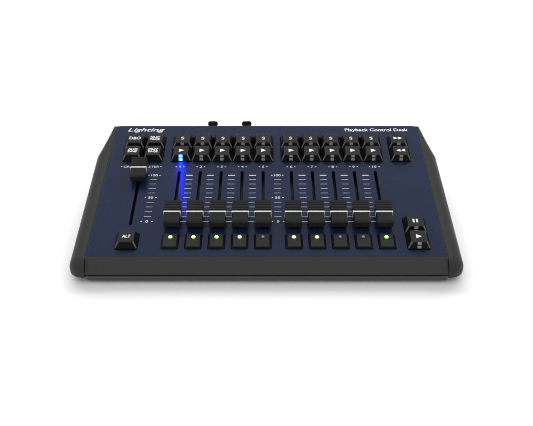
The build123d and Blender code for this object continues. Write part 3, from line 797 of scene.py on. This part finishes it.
def make_knob(name, x, v):
    profile = knob_profile()

    def ring(offset, shrink):
        return [(x + offset * narrowed(pv), v + pv * (1 - shrink / KNOB_HALF),
                 KNOB_MIDDLE + (pn - KNOB_MIDDLE) * (1 - shrink / KNOB_HALF_HEIGHT)) for pv, pn in profile]

    half = KNOB_WIDTH / 2
    stations = [(-half + inwards, shrink) for inwards, shrink in FLANK_ROUND]
    rings = [ring(offset, shrink) for offset, shrink in stations]
    rings += [ring(-offset, shrink) for offset, shrink in reversed(stations)]
    bm = bmesh.new()
    loft_rings(bm, rings)
    piece = make_piece(f"{name}_knob", bm, name, KNOB, angle=35)
    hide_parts(name)


def make_lever(name, x, v):
    """The lever under the knob, down into its slot."""
    bm = bmesh.new()
    prism(bm, [(px + x, pv + v) for px, pv in rounded_rectangle(*LEVER, 3)], LEVER_END,
          KNOB_UNDER + LEVER_OVERLAP)
    make_piece(f"{name}_lever", bm, name, SCREW, angle=40)


def make_insert(name, x, v):
    """The white insert: across the saddle and down both flanks, where it stands proud."""
    reach = INSERT_WIDTH / 2
    end = INSERT_LENGTH / 2
    rings = []
    for offset, inset in ((-end, INSERT_BEVEL), (-end + INSERT_BEVEL, 0), (end - INSERT_BEVEL, 0),
                          (end, INSERT_BEVEL)):
        top = saddle(offset) + INSERT_PROUD - inset
        flank, side = reach - inset, reach - INSERT_WALL
        outer = [(flank, INSERT_FOOT), (flank, top - INSERT_ROUND),
                 (reach - INSERT_CORNER, top - INSERT_CORNER), (reach - INSERT_ROUND, top)]
        inner = [(side, INSERT_FOOT), (side, top - INSERT_BRIDGE)]
        outline = [(-px, pn) for px, pn in outer] + outer[::-1]
        outline += inner + [(-px, pn) for px, pn in reversed(inner)]
        rings.append([(x + px, v + offset, pn) for px, pn in outline])
    bm = bmesh.new()
    loft_rings(bm, rings)
    make_piece(f"{name}_line", bm, name, INLAY, angle=30)


def make_fader(name):
    x, v = centre(name)
    make_knob(name, x, v)
    make_lever(name, x, v)
    make_insert(name, x, v)


# ---------------------------------------------------------------- flash buttons

FLASH_BASE = (13.7, 17.2)
FLASH_CROWN = (10.4, 14.9)
FLASH_SKIRT = -2.6
FLASH_SHOULDER = 0.4
FLASH_TOP = 2.2
FLASH_CORNER = 0.6
FLASH_TOP_CORNER = 0.9
# The shoulder's rounding, as share and rise, and the shares that the walls pass through
SHOULDER_ROUND = ((0, -0.12), (0.03, 0.05))
FLASH_WALLS = (0.3, 0.6, 0.88)
# The top's round edge and slight hollow: how far below the top, the corner, and how much wider
FLASH_EDGE = ((0.1, FLASH_TOP_CORNER, 0.1), (0, FLASH_TOP_CORNER, -0.4), (0.03, FLASH_TOP_CORNER, -1.2),
              (0.12, 0.7, -5))
LENS_SHIFT = 3.5
LENS_RADIUS = 1.4
LENS_DOME = 1.3
LENS_LIFT = 0.02
LENS_TURNS = (0, 20, 40, 60, 80)
LENS_SIDES = 20
LENS_ROOT = 0.5
RIM_RADIUS = 1.8
RIM_ROUND = 0.1
RIM_SIDE, RIM_TOP = 0.15, 0.25
LIT_BUTTONS = (1, 2, 3, 4, 6, 7, 10)


def flash_ring(x, v, share, height, corner, grow=0.0):
    """A level ring of a flash button: share 0 is the skirt and 1 the top."""
    width, length = (a + (b - a) * share + grow for a, b in zip(FLASH_BASE, FLASH_CROWN))
    return [(x + px, v + pv, height) for px, pv in rounded_rectangle(width, length, corner, 5)]


def make_flash_cap(name, x, v):
    """A low cap with an upright skirt, sloping walls and a slightly hollow top."""
    rings = [flash_ring(x, v, 0, FLASH_SKIRT, FLASH_CORNER)]
    for share, rise in SHOULDER_ROUND:
        rings.append(flash_ring(x, v, share, FLASH_SHOULDER + rise, FLASH_CORNER))
    for share in FLASH_WALLS:
        height = FLASH_SHOULDER + (FLASH_TOP - FLASH_SHOULDER) * share
        corner = FLASH_CORNER + (FLASH_TOP_CORNER - FLASH_CORNER) * share
        rings.append(flash_ring(x, v, share, height, corner))
    walls_end = len(rings)
    for drop, corner, grow in FLASH_EDGE:
        rings.append(flash_ring(x, v, 1, FLASH_TOP - drop, corner, grow))
    bm = bmesh.new()
    made = loft_rings(bm, rings)
    # The walls take the same painted shade as the keys' walls, a darker copy of the plastic
    finish_walls(bm, made[:walls_end], highlit_edges=False)
    piece = make_piece(f"{name}_cap", bm, name, (BUTTON, PAINTED_SIDE_SHADE), angle=50)
    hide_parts(name)


def make_flash_lens(name, x, v, lit):
    """A small domed lens near the button's rear edge, in a thin rim."""
    def disc(radius, height):
        turns = [2 * math.pi * k / LENS_SIDES for k in range(LENS_SIDES)]
        return [(x + radius * math.cos(turn), v + radius * math.sin(turn), height) for turn in turns]

    rings = [disc(LENS_RADIUS, FLASH_TOP - LENS_ROOT)]
    for turn in map(math.radians, LENS_TURNS):
        height = FLASH_TOP + LENS_LIFT + LENS_DOME * math.sin(turn)
        rings.append(disc(LENS_RADIUS * math.cos(turn), height))
    bm = bmesh.new()
    loft_rings(bm, rings)
    material, slot = (LENS_ON, "green_light") if lit else (LENS_OFF, "light_pipe")
    make_piece(f"{name}_lens", bm, name, material, angle=60)
    bm = bmesh.new()
    loft_rings(bm, [disc(RIM_RADIUS, FLASH_TOP - LENS_ROOT), disc(RIM_RADIUS, FLASH_TOP),
                    disc(RIM_RADIUS - RIM_ROUND, FLASH_TOP + RIM_SIDE),
                    disc(LENS_RADIUS, FLASH_TOP + RIM_TOP)])
    material, slot = (LENS_RIM, "green_light") if lit else (BUTTON, "button_plastic")
    make_piece(f"{name}_lens_rim", bm, name, material, angle=40)


def make_flash_button(number):
    name = f"flash_button_{number}"
    x, v = centre(name)
    make_flash_cap(name, x, v)
    make_flash_lens(name, x, v + LENS_SHIFT, number in LIT_BUTTONS)


# ---------------------------------------------------------------- rear sockets

LATCH_NECK = 6.8
LATCH_WAIST = 8.0
LATCH_HEAD = 9.8
LATCH_TIP = 6.4
LATCH_EDGE = 0.35
LATCH_ROUND = 0.1
# How far behind the panel the tab's neck ends, and where its head starts, is widest and turns in
LATCH_PLACES = (2.6, 6.4, 9.6, 12.0)
# The head's outline between those places: how much narrower each side is, and how far before
HEAD_SWELL, HEAD_SHOULDER, HEAD_TURN = (0.3, 1.4), (0.35, 0.9), 1.0


def make_latch(name):
    """An outlet's release tab: a neck through the rear wall and a wide round head."""
    low, high = deck_box(name)
    x = (low.x + high.x) / 2
    neck_end, head_start, widest, shoulder = (PANEL_LENGTH + place for place in LATCH_PLACES)
    side = LATCH_HEAD / 2
    right = [(LATCH_NECK / 2, low.y), (LATCH_NECK / 2, neck_end), (LATCH_WAIST / 2, head_start),
             (side - HEAD_SWELL[0], widest - HEAD_SWELL[1]), (side, widest),
             (side - HEAD_SHOULDER[0], shoulder - HEAD_SHOULDER[1]), (side - HEAD_TURN, shoulder),
             (LATCH_TIP / 2, high.y - LATCH_EDGE)]
    outline = right + [(-px, pv) for px, pv in reversed(right)]

    def ring(height, inset):
        middle = (low.y + high.y) / 2
        half = (high.y - low.y) / 2
        return [(x + px * (1 - 2 * inset / LATCH_HEAD), middle + (pv - middle) * (1 - inset / half), height)
                for px, pv in outline]

    bm = bmesh.new()
    loft_rings(bm, [ring(low.z, LATCH_EDGE), ring(low.z + LATCH_EDGE, 0), ring(high.z - LATCH_EDGE, 0),
                    ring(high.z - LATCH_ROUND, LATCH_ROUND), ring(high.z, LATCH_EDGE)])
    piece = make_piece(f"{name}_tab", bm, name, CONNECTOR, angle=50)
    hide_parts(name)


INLET_CENTRE = (40.0, -15.0)
INLET_BODY = (12.06, 11.06)
SEAL_WIDTH = 2.0
SEAL_FRONT, SEAL_REAR = 180.6, 182.0
SEAL_CORNER = 0.5


def make_inlet_seal():
    """A foam seal round the data inlet, against the rear wall's inner face."""
    x, n = INLET_CENTRE
    rings = []
    for v, grow in ((SEAL_FRONT, 0.0), (SEAL_REAR, 0.0), (SEAL_REAR, SEAL_WIDTH),
                    (SEAL_FRONT, SEAL_WIDTH), (SEAL_FRONT, 0.0)):
        width, height = (size + 2 * grow for size in INLET_BODY)
        rings.append([(x + px, v, n + pn) for px, pn in
                      rounded_rectangle(width, height, SEAL_CORNER + grow / 2)])
    bm = bmesh.new()
    loft_rings(bm, rings, close_first=False, close_last=False)
    bmesh.ops.remove_doubles(bm, verts=bm.verts, dist=0.001)
    make_piece("inlet_seal", bm, "desk", RUBBER, smooth=False)


# ---------------------------------------------------------------- CAD nodes' finishes

def finish_cad_nodes():
    """Gives every CAD node its material, those that a piece replaces included."""
    finishes = {"top_cover": COVER, "bottom_tray": TRAY, "left_cheek": CHEEK, "right_cheek": CHEEK,
                "control_board": BOARD, "rear_sockets": CONNECTOR, "rubber_feet": RUBBER,
                "screws": SCREW, "outlet_latch_1": CONNECTOR, "outlet_latch_2": CONNECTOR}
    for name, node in frame["nodes"].items():
        material = finishes.get(name, KEYCAP)
        if not node.material_slots:
            node.data.materials.append(material)
        for slot in node.material_slots:
            slot.material = material


# ---------------------------------------------------------------- floor, light and camera

FLOOR_REACH = 12.0
FLOOR_DARK, FLOOR_LIGHT = (0.84, 0.84, 0.84), (0.86, 0.86, 0.86)

# How bright the studio is at each angle from the rear horizon, over the top, to the front one
SKY = [(0, 0.3), (25, 0.45), (44, 0.55), (52, 0.6), (75, 0.75), (95, 0.9), (125, 0.95), (150, 0.58),
       (168, 0.33), (180, 0.2)]
SKY_STRENGTH = 1.0
SIDE_GAIN = 0.3
BACKDROP = 0.9

# The softbox in metres and watts
SOFTBOX_PLACE = (0, 1.4, 0.95)
SOFTBOX_SIZE = (3.6, 0.9)
SOFTBOX_POWER = 64

# The lit key's glow: a row of small lamps from the key down the panel, each weaker than the last
GLOW_COLOUR = (0.0, 0.02, 1.0)
GLOW_START = 11.5
GLOW_ASIDE = 1.0
GLOW_STEPS = 11
GLOW_PITCH = 7.2
GLOW_HEIGHT = 1.9
GLOW_WIDTH = 3.4
GLOW_DRIFT = 0.1
GLOW_POWER = 0.0105
GLOW_FADE = 0.74

# The camera on the deck, its angle below the slope, and its lens
CAMERA_PLACE = (0, -452.7, 448)
CAMERA_DOWN = math.radians(41.5)
SENSOR_WIDTH = 36
FOCAL_LENGTH = 53.36
NEAREST = 0.01
PIXEL_FILTER = 1.0


def deck_point(x, v, n):
    return DECK @ Vector((x, v, n))


def make_floor():
    """A plain sheet of pale paper."""
    mesh = bpy.data.meshes.new("floor")
    mesh.from_pydata([(-FLOOR_REACH, -FLOOR_REACH, 0), (FLOOR_REACH, -FLOOR_REACH, 0),
                      (FLOOR_REACH, FLOOR_REACH * 2, 0), (-FLOOR_REACH, FLOOR_REACH * 2, 0)],
                     [], [(0, 1, 2, 3)])
    floor = bpy.data.objects.new("floor", mesh)
    bpy.context.scene.collection.objects.link(floor)
    material, nodes, links, shader = new_material("floor_paper")
    place = nodes.new("ShaderNodeTexCoord").outputs["Object"]
    cloud = add_noise(nodes, links, place, 3, 2.0)
    links.new(mix_colour(nodes, links, cloud, FLOOR_DARK, FLOOR_LIGHT), shader.inputs["Base Color"])
    shader.inputs["Roughness"].default_value = 0.9
    shader.inputs["Specular IOR Level"].default_value = 0.1
    mesh.materials.append(material)


def make_area(name, location, target, size, energy, colour=(1, 1, 1)):
    light = bpy.data.lights.new(name, "AREA")
    light.shape = "RECTANGLE"
    light.size, light.size_y = size
    light.energy = energy
    light.color = colour
    lamp = bpy.data.objects.new(name, light)
    lamp.location = location
    lamp.rotation_euler = (Vector(target) - Vector(location)).to_track_quat("-Z", "Y").to_euler()
    # Lights the surfaces and stays out of their reflections
    lamp.visible_glossy = False
    bpy.context.scene.collection.objects.link(lamp)
    return lamp


def make_sky():
    """Studio light that changes with its height, brighter at the sides, before a pale backdrop."""
    world = bpy.data.worlds.new("studio")
    bpy.context.scene.world = world
    world.use_nodes = True
    nodes, links = world.node_tree.nodes, world.node_tree.links
    background = nodes["Background"]
    place = nodes.new("ShaderNodeTexCoord").outputs["Generated"]
    split = nodes.new("ShaderNodeSeparateXYZ")
    links.new(place, split.inputs["Vector"])
    # The angle from the rear horizon, over the top, to the front horizon
    angle = nodes.new("ShaderNodeMath")
    angle.operation = "ARCTAN2"
    links.new(split.outputs["Z"], angle.inputs[0])
    links.new(split.outputs["Y"], angle.inputs[1])
    share = map_range(nodes, links, angle.outputs["Value"], 0, 1, 0, math.pi)
    ramp = nodes.new("ShaderNodeValToRGB")
    links.new(share, ramp.inputs["Fac"])
    elements = ramp.color_ramp.elements
    while len(elements) > 1:
        elements.remove(elements[-1])
    for i, (degrees, level) in enumerate(SKY):
        element = elements[0] if i == 0 else elements.new(degrees / 180)
        element.position = degrees / 180
        element.color = (level, level, level, 1)
    squared = nodes.new("ShaderNodeMath")
    squared.operation = "MULTIPLY"
    links.new(split.outputs["X"], squared.inputs[0])
    links.new(split.outputs["X"], squared.inputs[1])
    strength = map_range(nodes, links, squared.outputs["Value"], SKY_STRENGTH,
                         SKY_STRENGTH * (1 + SIDE_GAIN), 0, 1)
    links.new(ramp.outputs["Color"], background.inputs["Color"])
    links.new(strength, background.inputs["Strength"])
    # The backdrop itself is plain and pale
    backdrop = nodes.new("ShaderNodeBackground")
    backdrop.inputs["Color"].default_value = (BACKDROP, BACKDROP, BACKDROP, 1)
    choice = nodes.new("ShaderNodeMixShader")
    links.new(nodes.new("ShaderNodeLightPath").outputs["Is Camera Ray"], choice.inputs["Fac"])
    links.new(background.outputs["Background"], choice.inputs[1])
    links.new(backdrop.outputs["Background"], choice.inputs[2])
    links.new(choice.outputs["Shader"], nodes["World Output"].inputs["Surface"])


def make_lights():
    """The sky, a long softbox behind the desk, and the lit key's glow on the panel."""
    make_sky()
    make_area("rear_softbox", SOFTBOX_PLACE, (0, 0, 0), SOFTBOX_SIZE, SOFTBOX_POWER)
    x, v = centre(LIT_KEY)
    for step in range(GLOW_STEPS):
        along = v - GLOW_START - GLOW_PITCH * step
        across = x + GLOW_ASIDE + GLOW_DRIFT * step**2
        lamp = make_area(f"key_glow_{step + 1}", deck_point(across, along, GLOW_HEIGHT),
                         deck_point(across, along, 0), (GLOW_WIDTH * MM, GLOW_PITCH * MM),
                         GLOW_POWER * GLOW_FADE**step, GLOW_COLOUR)
        lamp.visible_camera = False


def make_camera():
    camera_data = bpy.data.cameras.new("camera")
    camera_data.sensor_width = SENSOR_WIDTH
    camera_data.lens = FOCAL_LENGTH
    camera_data.clip_start = NEAREST
    camera = bpy.data.objects.new("camera", camera_data)
    camera.location = deck_point(*CAMERA_PLACE)
    heading = slope * math.cos(CAMERA_DOWN) - normal * math.sin(CAMERA_DOWN)
    camera.rotation_euler = heading.to_track_quat("-Z", "Y").to_euler()
    bpy.context.scene.collection.objects.link(camera)
    bpy.context.scene.camera = camera
    bpy.context.scene.view_settings.view_transform = "Standard"
    bpy.context.scene.cycles.filter_width = PIXEL_FILTER


make_camera()
make_floor()
make_lights()
finish_cad_nodes()
make_overlay()
make_legends()
make_keys()
make_latch("outlet_latch_1")
make_latch("outlet_latch_2")
make_inlet_seal()
make_fader("master_fader")
for number in range(1, FADER_COUNT + 1):
    make_fader(f"fader_{number}")
    make_flash_button(number)
